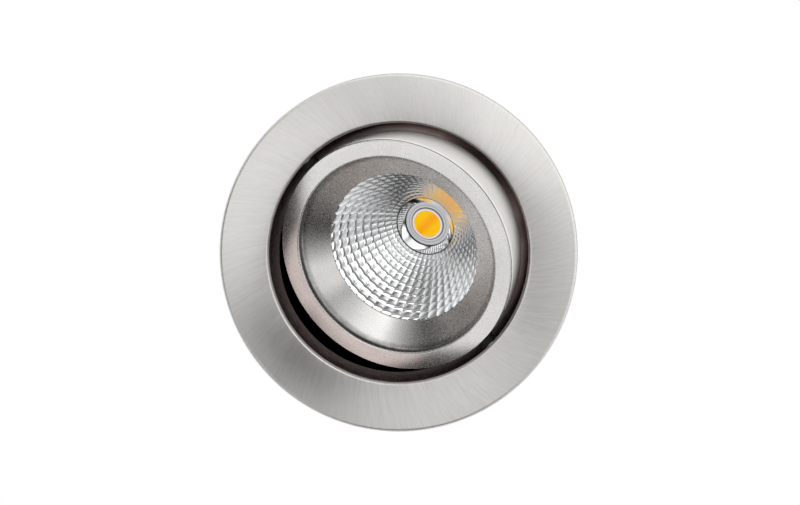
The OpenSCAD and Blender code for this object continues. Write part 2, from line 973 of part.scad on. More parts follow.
module clip_arm(side) {
  color("lightsteelblue")
  on_arm(side)
    difference() {
      union() {
        translate([-arm_t / 2, -arm_w / 2, shoe_end - arm_length])
          cube([arm_t, arm_w, arm_length - shoe_end]);
        for (y = [-arm_w / 2, tine_gap / 2])
          translate([0, y + tine_w, 0])
            rotate([90, 0, 0])
              cylinder(d = arm_eye_d, h = tine_w);
      }
      translate([-arm_eye_d, -tine_gap / 2, -slot_length])
        cube([2 * arm_eye_d, tine_gap, slot_length + arm_eye_d]);
      rotate([90, 0, 0])
        cylinder(d = clip_pin_d + 2 * pin_gap, h = arm_w + 2, center = true);
    }
}

// Soft shoe over the end of the arm, with a rounded nose
module clip_pad(side) {
  color("dimgray")
  on_arm(side)
    difference() {
      union() {
        translate([-shoe_t / 2, -shoe_w / 2, shoe_t / 2 - arm_length])
          cube([shoe_t, shoe_w, shoe_length - shoe_t / 2]);
        translate([0, 0, shoe_t / 2 - arm_length])
          rotate([90, 0, 0])
            cylinder(d = shoe_t, h = shoe_w, center = true);
      }
      translate([-arm_t / 2, -arm_w / 2, shoe_end - arm_length])
        cube([arm_t, arm_w, arm_length]);
    }
}

// Middle line of the spring in x, y and z from the hinge pin: up the fixed leg, round the coil
// with its turns side by side, and down the leg on the arm
coil_steps = ceil(coil_turn / 360 * curl_steps);
plate_leg_way = [sin(plate_leg_lean), 0, -cos(plate_leg_lean)];
arm_leg_way = [sin(arm_leg_lean), 0, -cos(arm_leg_lean)];
function coil_point(turned) =
  let (a = 180 + plate_leg_lean - turned)
  [curl_r * cos(a), -coil_half + 2 * coil_half * turned / coil_turn, curl_r * sin(a)];
spring_line = concat(
  [for (s = [plate_leg, plate_leg - wire_d, 1]) coil_point(0) + s * plate_leg_way],
  [for (i = [0:coil_steps]) coil_point(coil_turn * i / coil_steps)],
  [for (s = [1, arm_leg - wire_d, arm_leg]) coil_point(coil_turn) + s * arm_leg_way]
);
function unit(v) = v / norm(v);
function line_way(line, i) = unit(line[min(i + 1, len(line) - 1)] - line[max(i - 1, 0)]);

// One unbroken tube of six sides along a line that never runs along y
module wire(line, d) {
  sides = 6;
  n = len(line);
  points = [
    for (i = [0:n - 1])
      let (
        way = line_way(line, i),
        out = unit(cross(way, [0, 1, 0])),
        up = cross(out, way)
      )
      for (k = [0:sides - 1])
        line[i] + d / 2 * (cos(60 * k) * out + sin(60 * k) * up)
  ];
  skin = [
    for (i = [0:n - 2])
      for (k = [0:sides - 1])
        let (
          a = i * sides + k,
          b = i * sides + (k + 1) % sides,
          c = a + sides,
          e = b + sides
        )
        for (f = [[a, b, e], [a, e, c]]) f
  ];
  end_fans = [
    for (k = [1:sides - 2])
      for (f = [[0, k + 1, k], [(n - 1) * sides, (n - 1) * sides + k, (n - 1) * sides + k + 1]]) f
  ];
  polyhedron(points = points, faces = concat(skin, end_fans));
}

// Least distance between parts of the spring that lie more than half a curl apart
spring_gap = min([
  for (i = [0:len(spring_line) - 1])
    for (j = [i + curl_steps / 2 + 1:1:len(spring_line) - 1])
      norm(spring_line[i] - spring_line[j]) - wire_d
]);
echo(least_gap_of_the_spring_to_itself = spring_gap);

module clip_spring(side) {
  color("silver")
  clip_side(side)
    translate([clip_pin_x, 0, clip_pin_z])
      wire(spring_line, wire_d);
}

trim_ring();
ceiling_gasket();
slip_washer();
retaining_ring();
stop_screw();
clip_bracket(0);  // clip_bracket_right
clip_bracket(180);  // clip_bracket_left
clip_rivets();
clip_pin(0);  // clip_pin_right
clip_pin(180);  // clip_pin_left
clip_spring(0);  // clip_spring_right
clip_spring(180);  // clip_spring_left
swivel_ring();
pivot_pins();
friction_washers();
head_shell();
front_bezel();
bezel_seal();
reflector();
led_phosphor();
led_dam();
led_board();
led_holder();
holder_screws();
thermal_pad();
heat_sink();
heat_sink_screws();
lead_gland();
clip_arm(0);  // clip_arm_right
clip_pad(0);  // clip_pad_right
clip_arm(180);  // clip_arm_left
clip_pad(180);  // clip_pad_left
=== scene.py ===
import math

import bmesh
import bpy
from mathutils import Matrix, Vector


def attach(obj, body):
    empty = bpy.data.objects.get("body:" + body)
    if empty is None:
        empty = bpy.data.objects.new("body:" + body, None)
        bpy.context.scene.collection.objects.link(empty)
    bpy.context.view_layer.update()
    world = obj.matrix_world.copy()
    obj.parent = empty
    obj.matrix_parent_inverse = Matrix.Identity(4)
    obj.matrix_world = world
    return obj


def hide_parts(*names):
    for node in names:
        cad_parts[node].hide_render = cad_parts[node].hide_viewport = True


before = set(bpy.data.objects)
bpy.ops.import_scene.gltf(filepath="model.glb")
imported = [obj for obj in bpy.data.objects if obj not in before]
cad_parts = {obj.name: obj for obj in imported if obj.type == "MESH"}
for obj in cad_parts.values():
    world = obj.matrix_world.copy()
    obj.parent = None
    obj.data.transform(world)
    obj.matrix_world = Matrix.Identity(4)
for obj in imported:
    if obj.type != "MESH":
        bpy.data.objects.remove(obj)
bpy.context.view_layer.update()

# ---- The view ----
# The downlight is seen square-on from below, on the axis of its flange, with the picture's top along -Y.
# The picture is 800 pixels or 187.2 mm wide at the flange's lowest face, and was taken from 0.70 m.
MM = 0.001
view_x, view_z = 0.3, -704.0


def placed(name, data):
    """A new object of the scene from its mesh, camera or lamp."""
    thing = bpy.data.objects.new(name, data)
    bpy.context.scene.collection.objects.link(thing)
    return thing


view_data = bpy.data.cameras.new("view_from_below")
view_data.sensor_width = 36.0
view_data.lens = 134.6
view = placed("view_from_below", view_data)
view.location = (view_x * MM, 0.0, view_z * MM)
view.rotation_euler = (math.pi, 0.0, 0.0)
bpy.context.scene.camera = view
bpy.context.scene.view_settings.view_transform = "Standard"

# ---- Flange, collar and sleeve: trim_ring ----
# One die-casting turned on its visible side: a slightly crowned flange, the collar that enters the cut-out and the
# sleeve that the swivel ring turns in. Its face is plated in satin nickel and brushed outwards from the middle.
FULL_TURN = 2.0 * math.pi


def eased(section, radius, arc_points=4):
    """The closed section of (r, z) points with its corners rounded, as a tool or a plating bath leaves them."""
    least_turn, most_reach = math.radians(20.0), 0.45
    rounded = []
    for i, corner in enumerate(section):
        here = Vector(corner)
        back = Vector(section[i - 1]) - here
        on = Vector(section[(i + 1) % len(section)]) - here
        turn = math.pi - back.angle(on)
        if turn < least_turn:
            rounded.append(tuple(here))
            continue
        reach = min(radius * math.tan(turn / 2.0), most_reach * back.length, most_reach * on.length)
        start = here + reach * back.normalized()
        end = here + reach * on.normalized()
        for k in range(arc_points + 1):
            s = k / arc_points
            rounded.append(tuple((1 - s) ** 2 * start + 2 * s * (1 - s) * here + s ** 2 * end))
    return rounded


def smooth_shaded(piece, sharp_from=40.0):
    """Soft shading over the rounded edges, with the flat faces kept flat."""
    for face in piece.data.polygons:
        face.use_smooth = True
    piece.data.set_sharp_from_angle(angle=math.radians(sharp_from))
    even = piece.modifiers.new("even_faces", "WEIGHTED_NORMAL")
    even.keep_sharp = True
    even.weight = 90


def seated(mesh, seat=None):
    """Keeps each point's place in the piece's own frame for its grain, and moves the mesh to its seat."""
    places = mesh.attributes.get("own_place") or mesh.attributes.new("own_place", "FLOAT_VECTOR", "POINT")
    places.data.foreach_set("vector", [c for v in mesh.vertices for c in v.co])
    if seat is not None:
        mesh.transform(seat)


def new_piece(name, points, faces, seat=None):
    """A mesh object from points in mm, put in its place by the seat."""
    mesh = bpy.data.meshes.new(name)
    mesh.from_pydata([tuple(c * MM for c in p) for p in points], [], faces)
    shape = bmesh.new()
    shape.from_mesh(mesh)
    bmesh.ops.remove_doubles(shape, verts=shape.verts, dist=1e-7)
    bmesh.ops.recalc_face_normals(shape, faces=shape.faces)
    shape.to_mesh(mesh)
    shape.free()
    seated(mesh, seat)
    return placed(name, mesh)


def turned(name, section, seat=None, steps=240, closed=True):
    """A piece turned about Z from a section of (r, z) points in mm, which closes on itself unless it is left open."""
    rows = len(section)
    points = []
    for i in range(steps):
        a = FULL_TURN * i / steps
        points += [(r * math.cos(a), r * math.sin(a), z) for r, z in section]
    faces = []
    for i in range(steps):
        here, there = i * rows, (i + 1) % steps * rows
        for k in range(rows if closed else rows - 1):
            n = (k + 1) % rows
            faces.append((here + k, here + n, there + n, there + k))
    piece = new_piece(name, points, faces, seat)
    smooth_shaded(piece)
    return piece


def joined(main, *others):
    """Several meshes of one part as one object."""
    shape = bmesh.new()
    for piece in (main, *others):
        shape.from_mesh(piece.data)
    shape.to_mesh(main.data)
    shape.free()
    for piece in others:
        bpy.data.objects.remove(piece)
    smooth_shaded(main)
    return main


def fitted(piece, material, body, node):
    """A piece's material, the body it moves with, and the solid it stands for, which it hides."""
    piece.data.materials.append(material)
    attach(piece, body)
    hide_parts(node)


def finish(name, colour, metallic, roughness, **sockets):
    """A new material and its shader, with the shader's plain values set on its own sockets."""
    material = bpy.data.materials.new(name)
    material.use_nodes = True
    shader = material.node_tree.nodes["Principled BSDF"]
    shader.inputs["Base Color"].default_value = (*colour, 1.0)
    shader.inputs["Metallic"].default_value = metallic
    shader.inputs["Roughness"].default_value = roughness
    for socket, value in sockets.items():
        shader.inputs[socket.replace("_", " ").title().replace("Ior", "IOR")].default_value = value
    return material, shader


def put(material, kind, inputs=None, **settings):
    """A node in a material; each input is a value or another node's output."""
    node = material.node_tree.nodes.new(kind)
    for key, value in settings.items():
        setattr(node, key, value)
    for key, value in (inputs or {}).items():
        if isinstance(value, bpy.types.NodeSocket):
            material.node_tree.links.new(value, node.inputs[key])
        else:
            node.inputs[key].default_value = value
    return node


def sums(material, operation, *values):
    """The result of one sum on values or outputs."""
    return put(material, "ShaderNodeMath", dict(enumerate(values)), operation=operation).outputs[0]


def vector_sums(material, operation, *values):
    """The result of one sum on vectors, which is a plain value for a length."""
    node = put(material, "ShaderNodeVectorMath", dict(enumerate(values)), operation=operation)
    return node.outputs["Value" if operation == "LENGTH" else "Vector"]


def ramp(material, value, low, high, to_low, to_high):
    """A value carried from one range to another, and held at its ends."""
    inputs = {"Value": value, "From Min": low, "From Max": high, "To Min": to_low, "To Max": to_high}
    return put(material, "ShaderNodeMapRange", inputs).outputs["Result"]


def weighed(material, first, share, second, rest):
    """The sum of two tones or heights, each with its own weight."""
    return sums(material, "ADD", sums(material, "MULTIPLY", first, share), sums(material, "MULTIPLY", second, rest))


def noise_of(material, where, scale, detail=2.0, roughness=0.5):
    """A noise from 0 to 1, with scale grains a metre."""
    inputs = {"Vector": where, "Scale": scale, "Detail": detail, "Roughness": roughness}
    return put(material, "ShaderNodeTexNoise", inputs).outputs["Fac"]


def blended(material, share, first, second):
    """Two colours mixed by a share."""
    node = put(material, "ShaderNodeMix", {"Factor": share}, data_type="RGBA")
    for index, value in ((6, first), (7, second)):
        if isinstance(value, bpy.types.NodeSocket):
            material.node_tree.links.new(value, node.inputs[index])
        else:
            node.inputs[index].default_value = (*value, 1.0)
    return node.outputs[2]


def toned(material, tone, low, high, colour, dark, light):
    """A colour that is darker where the tone is low, and lighter where it is high."""
    share = ramp(material, tone, low, high, 0.0, 1.0)
    darker = tuple(dark * c for c in colour)
    lighter = tuple(min(1.0, light * c) for c in colour)
    return blended(material, share, darker, lighter)


def feed(material, shader, socket, value):
    """Links an output to one of the shader's sockets."""
    material.node_tree.links.new(value, shader.inputs[socket])


def glossed(material, shader, tone, smooth, rough):
    """A roughness that is smooth where the tone is low, and rough where it is high."""
    feed(material, shader, "Roughness", ramp(material, tone, 0.3, 0.7, smooth, rough))


def bumped(material, shader, height, depth, strength=1.0):
    """Relief of a height from 0 to 1, as deep as depth in mm."""
    inputs = {"Height": height, "Distance": depth * MM, "Strength": strength}
    feed(material, shader, "Normal", put(material, "ShaderNodeBump", inputs).outputs["Normal"])


def own_place(material):
    """The point's place in the piece's own frame, in metres."""
    return put(material, "ShaderNodeAttribute", attribute_name="own_place").outputs["Vector"]


def stroke_places(material, slant, along):
    """Places in which a noise becomes strokes that run outwards from the axis and lean by slant radians a metre."""
    spot = own_place(material)
    flat = vector_sums(material, "MULTIPLY", spot, (1.0, 1.0, 0.0))
    reach = vector_sums(material, "LENGTH", flat)
    way = vector_sums(material, "NORMALIZE", flat)
    lean = sums(material, "MULTIPLY", reach, slant)
    turned_by = {"Vector": way, "Angle": lean}
    leaning = put(material, "ShaderNodeVectorRotate", turned_by, rotation_type="Z_AXIS").outputs[0]
    rise = put(material, "ShaderNodeCombineXYZ", {"Z": sums(material, "MULTIPLY", reach, along)}).outputs[0]
    return vector_sums(material, "ADD", leaning, rise)


def brushed_outwards(name, colour, roughness):
    """Satin nickel with fine strokes from the middle outwards."""
    material, shader = finish(name, colour, 1.0, roughness, anisotropic=0.92)
    where = stroke_places(material, slant=8.0, along=2.2)
    fine_count, middle_count, broad_count = 150.0, 46.0, 7.0
    fine = noise_of(material, where, fine_count, 3.0, 0.6)
    middle = noise_of(material, where, middle_count, 2.0)
    broad = noise_of(material, where, broad_count, 2.0)
    strokes = weighed(material, fine, 0.6, middle, 0.4)
    tone = weighed(material, strokes, 0.88, broad, 0.12)
    feed(material, shader, "Base Color", toned(material, tone, 0.38, 0.62, colour, 0.88, 1.07))
    glossed(material, shader, strokes, roughness - 0.08, roughness + 0.1)
    around = put(material, "ShaderNodeTangent", direction_type="RADIAL", axis="Z").outputs[0]
    feed(material, shader, "Tangent", around)
    bumped(material, shader, strokes, 0.012, 0.5)
    return material


flange_metal = brushed_outwards("brushed_flange_metal", (0.79, 0.775, 0.755), 0.46)

face_in, face_out = 31.2, 41.2
face_low, face_high, crown_power = -4.0, -3.0, 1.6
lip_back, lip_reach, lip_drop = -1.6, 0.55, 0.6
flange_r, flange_back, rim_round = 42.0, -1.0, 0.8
collar_r, collar_in, collar_top = 36.5, 35.2, 5.0
sleeve_r, sleeve_in, sleeve_top = 33.48, 31.98, 15.2
groove_r, groove_low, groove_high = 32.63, 13.1, 14.1


def flange_face():
    """The crowned face, from the chamfer at the opening out to the rounded rim."""
    crown = []
    for k in range(13):
        s = k / 12
        rise = (face_high - face_low) * s ** crown_power
        crown.append((face_in + s * (face_out - face_in), face_low + rise))
    rim = []
    for k in range(1, 8):
        t = math.radians(90.0 * k / 7)
        rim.append((face_out + rim_round * math.sin(t), face_high + rim_round * (1.0 - math.cos(t))))
    return crown + rim


trim_section = [(face_in - lip_reach, lip_back)]
for k in range(7):
    t = math.radians(15.0 * k)
    trim_section.append((face_in - lip_reach * math.cos(t), face_low + lip_drop - lip_drop * math.sin(t)))
trim_section += flange_face()[1:]
trim_section += [
    (flange_r, flange_back), (collar_r, flange_back), (collar_r, collar_top), (collar_in, collar_top),
    (collar_in, flange_back), (sleeve_r, flange_back), (sleeve_r, sleeve_top), (sleeve_in, sleeve_top),
    (sleeve_in, groove_high), (groove_r, groove_high), (groove_r, groove_low), (sleeve_in, groove_low),
    (sleeve_in, lip_back),
]


def block(name, low, high):
    """A plain land between two corners in mm, to be joined to a larger piece."""
    (x0, y0, z0), (x1, y1, z1) = low, high
    points = [(x, y, z) for x in (x0, x1) for y in (y0, y1) for z in (z0, z1)]
    faces = [(0, 1, 3, 2), (4, 6, 7, 5), (0, 4, 5, 1), (2, 3, 7, 6), (0, 2, 6, 4), (1, 5, 7, 3)]
    return new_piece(name, points, faces)


trim = turned("flange_and_sleeve", eased(trim_section, 0.12, 3), steps=288)
land_in, land_out, land_half, land_low = 33.0, 33.78, 6.0, 5.6
right_land = block("land", (land_in, -land_half, land_low), (land_out, land_half, sleeve_top))
left_land = block("land", (-land_out, -land_half, land_low), (-land_in, land_half, sleeve_top))
boss_r, boss_in, boss_out, boss_z, stop_screw_r = 2.7, 32.6, 34.28, 8.0, 1.25
boss_section = [(0.0, boss_in), (0.0, boss_out), (stop_screw_r, boss_out), (boss_r, boss_out), (boss_r, boss_in)]
boss = turned("boss", eased(boss_section, 0.2), steps=48)
boss.data.transform(Matrix.Translation((0.0, 0.0, boss_z * MM)) @ Matrix.Rotation(-math.pi / 2, 4, "X"))
joined(trim, boss, right_land, left_land)
fitted(trim, flange_metal, "trim", "trim_ring")

# ---- Gasket, slip washer, retaining ring and stop screw ----
# A soft foam gasket seals the flange to the soffit. The swivel ring runs on a thin slippery washer, is kept in by a
# split ring of spring wire with two eyes for pliers, and its turn ends on a small steel grub screw.


def dressed(name, node, edge, material, body, seat=None):
    """A copy of a solid with its sharp edges broken by edge in mm, in place of the solid."""
    flat_within, sharp_from = math.radians(0.5), math.radians(30.0)
    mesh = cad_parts[node].data.copy()
    if seat is not None:
        mesh.transform(seat.inverted())
    shape = bmesh.new()
    shape.from_mesh(mesh)
    bmesh.ops.remove_doubles(shape, verts=shape.verts, dist=1e-6)
    bmesh.ops.dissolve_limit(shape, angle_limit=flat_within, verts=shape.verts, edges=shape.edges)
    found = [e for e in shape.edges if e.is_manifold and e.calc_face_angle() > sharp_from]
    bmesh.ops.bevel(
        shape, geom=found, offset=edge * MM, offset_type="OFFSET", segments=2, profile=0.6, affect="EDGES",
        clamp_overlap=True,
    )
    mesh.name = name
    shape.to_mesh(mesh)
    shape.free()
    seated(mesh, seat)
    piece = placed(name, mesh)
    smooth_shaded(piece)
    piece.data.materials.clear()
    fitted(piece, material, body, node)


def speckled(name, colour, roughness, size, change, relief, metallic=0.0, **sockets):
    """A moulded, cast or foamed surface: uneven in colour and gloss, with a grain of size and relief in mm."""
    cloud_size = 14.0 * size
    material, shader = finish(name, colour, metallic, roughness, **sockets)
    spot = own_place(material)
    grain = noise_of(material, spot, 1.0 / (size * MM), 3.0, 0.6)
    cloud = noise_of(material, spot, 1.0 / (cloud_size * MM), 2.0)
    tone = weighed(material, grain, 0.6, cloud, 0.4)
    feed(material, shader, "Base Color", toned(material, tone, 0.35, 0.65, colour, 1.0 - change, 1.0 + change))
    glossed(material, shader, cloud, roughness * 0.88, min(1.0, roughness * 1.12))
    bumped(material, shader, grain, relief, 0.6)
    return material


gasket_foam = speckled("closed_cell_foam", (0.045, 0.045, 0.047), 0.85, 0.35, 0.35, 0.08)
slip_plastic = speckled("slippery_washer_plastic", (0.72, 0.71, 0.68), 0.4, 0.5, 0.05, 0.01)
spring_steel = speckled("bright_spring_steel", (0.55, 0.56, 0.58), 0.26, 0.12, 0.12, 0.006, 1.0)
screw_steel = speckled("zinc_plated_screw_steel", (0.58, 0.59, 0.61), 0.3, 0.18, 0.12, 0.008, 1.0)

dressed("soffit_gasket", "ceiling_gasket", 0.2, gasket_foam, "trim")
dressed("slip_washer_ring", "slip_washer", 0.05, slip_plastic, "trim")
dressed("split_retaining_ring", "retaining_ring", 0.12, spring_steel, "trim")
dressed("swivel_stop_screw", "stop_screw", 0.08, screw_steel, "trim")

# ---- Swivel ring ----
# An aluminium ring turned to a spherical bore, in a warm metallic paint that looks dark in the gap. It turns in the
# sleeve, carries the head on two pins, and has a groove round its outside that ends at a bridge, where the stop
# screw meets it.
dim_glint = (0.12, 0.085, 0.075, 1.0)
ring_metal = speckled("warm_metallic_paint", (0.72, 0.62, 0.60), 0.18, 0.1, 0.08, 0.002, 0.97, specular_tint=dim_glint)
dressed("spherical_swivel_ring", "swivel_ring", 0.1, ring_metal, "swivel")

# ---- Clip brackets, rivets and hinge pins ----
# Pressed from zinc-plated sheet, each bracket is held to the sleeve by two domed aluminium rivets side by side. A
# steel pin through its two ears carries the clip.


def sheet_metal(name, colour, roughness):
    """Zinc-plated sheet: rolled lines one way and cloudy passivation."""
    material, shader = finish(name, colour, 1.0, roughness, anisotropic=0.3)
    spot = own_place(material)
    rolled_scale, cloud_scale = (6000.0, 9000.0, 260.0), 260.0
    rolled = put(material, "ShaderNodeMapping", {"Vector": spot, "Scale": rolled_scale}).outputs[0]
    lines = noise_of(material, rolled, 1.0, 2.0)
    cloud = noise_of(material, spot, cloud_scale, 3.0, 0.6)
    share = ramp(material, sums(material, "ADD", lines, cloud), 0.75, 1.25, 0.0, 1.0)
    cooler = (0.86 * colour[0], 0.88 * colour[1], 0.92 * colour[2])
    warmer = (1.1 * colour[0], 1.08 * colour[1], 1.0 * colour[2])
    feed(material, shader, "Base Color", blended(material, share, cooler, warmer))
    glossed(material, shader, cloud, roughness - 0.07, roughness + 0.1)
    bumped(material, shader, lines, 0.006, 0.5)
    return material


sheet_steel = sheet_metal("zinc_plated_sheet", (0.56, 0.565, 0.57), 0.33)
rivet_aluminium = speckled("rivet_aluminium", (0.72, 0.72, 0.73), 0.36, 0.2, 0.08, 0.01, 1.0)

for side in ("right", "left"):
    dressed("pressed_bracket_" + side, "clip_bracket_" + side, 0.14, sheet_steel, "trim")
    dressed("hinge_pin_" + side, "clip_pin_" + side, 0.15, screw_steel, "trim")


rivet_x, rivet_z, rivet_y = 34.58, 9.9, 2.7
shank_r, shank_in = 1.2, 32.1
head_r, head_rim, dome_h = 1.9, 0.2, 0.7
pit_r, dome_r, pit_floor = 0.62, 1.28, 0.55


def rivet_section():
    """Tail, shank and domed head with the drawn mandrel's pit, as (r, x)."""
    section = [(0.0, shank_in), (shank_r, shank_in), (shank_r, rivet_x), (head_r, rivet_x)]
    section.append((head_r, rivet_x + head_rim))
    for k in range(1, 8):
        t = math.radians(90.0 * k / 8)
        section.append((pit_r + dome_r * math.cos(t), rivet_x + head_rim + dome_h * math.sin(t)))
    section += [(pit_r, rivet_x + 0.9), (0.5, rivet_x + 0.62), (0.3, rivet_x + pit_floor), (0.0, rivet_x + pit_floor)]
    return section


four_rivets = []
for turn in (0.0, math.pi):
    for y in (-rivet_y, rivet_y):
        rivet = turned("rivet", rivet_section(), steps=40)
        place = Matrix.Rotation(turn, 4, "Z") @ Matrix.Translation((0.0, y * MM, rivet_z * MM))
        rivet.data.transform(place @ Matrix.Rotation(math.pi / 2, 4, "Y"))
        four_rivets.append(rivet)
four_rivets[0].name = "domed_rivets"
rivets = joined(*four_rivets)
fitted(rivets, rivet_aluminium, "trim", "clip_rivets")

# ---- Clip arms and shoes ----
# Each arm is a forked blade of sheet steel whose two tines end in eyes round the hinge pin. A moulded rubber shoe
# with a round nose and cross ribs is pushed over its end, and presses on the back of the soffit board.
shoe_rubber = speckled("moulded_shoe_rubber", (0.030, 0.030, 0.032), 0.62, 0.3, 0.2, 0.02)
hinge_x, hinge_z = 33.9, 20.0
arm_out = math.radians(20.9)
arm_length = 18.2
shoe_t, shoe_w, shoe_length, shoe_ease = 2.2, 8.6, 4.2, 0.18
rib_start, rib_step, rib_depth = 0.5, 0.85, 0.16


def shoe_shape():
    """The shoe's outline along the arm in (x, z), with three ribs across each flat, from the nose up."""
    half = shoe_t / 2
    nose_z = half - arm_length
    outline = []
    for k in range(13):
        t = math.radians(180.0 + 15.0 * k)
        outline.append((half * math.cos(t), nose_z + half * math.sin(t)))
    top = shoe_length - arm_length
    sides = []
    for k in range(3):
        base = nose_z + rib_start + rib_step * k
        sides += [(half, base), (half - rib_depth, base + 0.12), (half - rib_depth, base + 0.42), (half, base + 0.54)]
    right = [p for p in sides if p[1] < top - 0.2] + [(half, top - 0.15), (half - 0.15, top)]
    left = [(-x, z) for x, z in reversed(right)]
    return outline + right + left


def ring_faces(rings, sides, ends=True):
    """The faces between rings of points that follow one another, and over the two ends."""
    faces = []
    for i in range(rings - 1):
        here, there = i * sides, (i + 1) * sides
        for k in range(sides):
            n = (k + 1) % sides
            faces.append((here + k, here + n, there + n, there + k))
    if ends:
        faces += [tuple(range(sides)), tuple(range((rings - 1) * sides, rings * sides))]
    return faces


def shoe_mesh():
    """The outline carried across the shoe's width, drawn in a little at its two ends."""
    outline = shoe_shape()
    count, half, end_size = len(outline), shoe_w / 2, 1.0 - shoe_ease / 1.6
    layers = [(-half, end_size), (-half + shoe_ease, 1.0), (half - shoe_ease, 1.0), (half, end_size)]
    middle = sum(z for x, z in outline) / count
    points = [(x * s, y, middle + (z - middle) * (1.0 - (1.0 - s) * 0.5)) for y, s in layers for x, z in outline]
    return points, ring_faces(len(layers), count)


for side, turn in (("right", 0.0), ("left", math.pi)):
    dressed("forked_arm_" + side, "clip_arm_" + side, 0.12, sheet_steel, "clip_" + side)
    hinge = Matrix.Rotation(turn, 4, "Z") @ Matrix.Translation((hinge_x * MM, 0.0, hinge_z * MM))
    shoe = new_piece("ribbed_shoe_" + side, *shoe_mesh(), hinge @ Matrix.Rotation(-arm_out, 4, "Y"))
    smooth_shaded(shoe, 30.0)
    fitted(shoe, shoe_rubber, "clip_" + side, "clip_pad_" + side)

# ---- Clip springs ----
# Torsion springs of round 0.7 mm wire: three curls between the tines, one leg bearing on the bracket's plate and the
# other on the outside of the arm. The leg on the arm is a piece of its own, because it moves with the arm.
wire_r, curl_r, coil_half = 0.35, 1.7, 2.13
plate_leg, plate_leg_lean = 3.9, math.radians(16.53)
arm_leg, arm_leg_lean = 7.0, math.radians(13.63)
leg_hook = 0.1
coil_turn, coil_steps = math.radians(1262.9), 108
wire_sides = 12


def coil_place(turned_by):
    """A point of the coil round the hinge, turned_by radians on from the leg on the plate."""
    a = math.pi + plate_leg_lean - turned_by
    return Vector((curl_r * math.cos(a), -coil_half + 2 * coil_half * turned_by / coil_turn, curl_r * math.sin(a)))


def leg(start, lean, reach):
    """A straight leg from the coil, with a short bend at its end that keeps the tip off the plating."""
    way = Vector((math.sin(lean), 0.0, -math.cos(lean)))
    return [start + way * reach * k / 10 for k in range(1, 10)] + [start + way * reach + Vector((leg_hook, 0.0, 0.02))]


def wire_of(name, line, seat):
    """A round wire along a line of points, with domed ends."""
    last = len(line) - 1
    ways = [(line[min(i + 1, last)] - line[max(i - 1, 0)]).normalized() for i in range(len(line))]
    points = []
    tips = [(0, -0.8, 0.45), (0, -0.45, 0.85)]
    ends = [(last, 0.45, 0.85), (last, 0.8, 0.45)]
    rings = tips + [(i, 0.0, 1.0) for i in range(len(line))] + ends
    for i, forward, size in rings:
        out = ways[i].cross(Vector((0.0, 1.0, 0.0))).normalized()
        up = ways[i].cross(out)
        middle = line[i] + ways[i] * forward * wire_r * 0.5
        for k in range(wire_sides):
            a = FULL_TURN * k / wire_sides
            points.append(middle + wire_r * size * (math.cos(a) * out + math.sin(a) * up))
    wire = new_piece(name, points, ring_faces(len(rings), wire_sides), seat)
    smooth_shaded(wire, 60.0)
    wire.data.materials.append(spring_steel)
    return wire


for side, turn in (("right", 0.0), ("left", math.pi)):
    hinge = Matrix.Rotation(turn, 4, "Z") @ Matrix.Translation((hinge_x * MM, 0.0, hinge_z * MM))
    curls = [coil_place(coil_turn * k / coil_steps) for k in range(coil_steps + 1)]
    coil = wire_of("spring_coil_" + side, list(reversed(leg(curls[0], plate_leg_lean, plate_leg))) + curls, hinge)
    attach(coil, "trim")
    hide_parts("clip_spring_" + side)
    last = [coil_place(coil_turn - math.radians(8.0 * k)) for k in range(6, -1, -1)]
    moving = wire_of("spring_leg_" + side, last + leg(curls[-1], arm_leg_lean, arm_leg), hinge)
    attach(moving, "clip_" + side)

# ---- Pivot pins and friction washers ----
# Two ground steel pins join the head to the swivel ring on the tilt axis. A dished black plastic washer on each
# fills the gap between the two spheres and holds the head by friction where it is set.
washer_plastic = speckled("black_washer_plastic", (0.006, 0.006, 0.006), 0.6, 0.15, 0.2, 0.01, specular_ior_level=0.2)
dressed("tilt_pins", "pivot_pins", 0.12, screw_steel, "head")
dressed("dished_friction_washers", "friction_washers", 0.12, washer_plastic, "head")

# ---- Head shell ----
# A die-cast spherical housing, turned and plated like the flange. Its open front takes the bezel, and its rear flange
# the heat sink. All pieces of the head are made along the head's own axis and seated here, tilted by 29.5 degrees.
head_tilt = math.radians(29.5)
pivot_z = 2.0
tilt_axis = Vector((1.0, 1.0, 0.0)).normalized()
head = Matrix.Translation((0.0, 0.0, pivot_z * MM)) @ Matrix.Rotation(head_tilt, 4, tilt_axis)


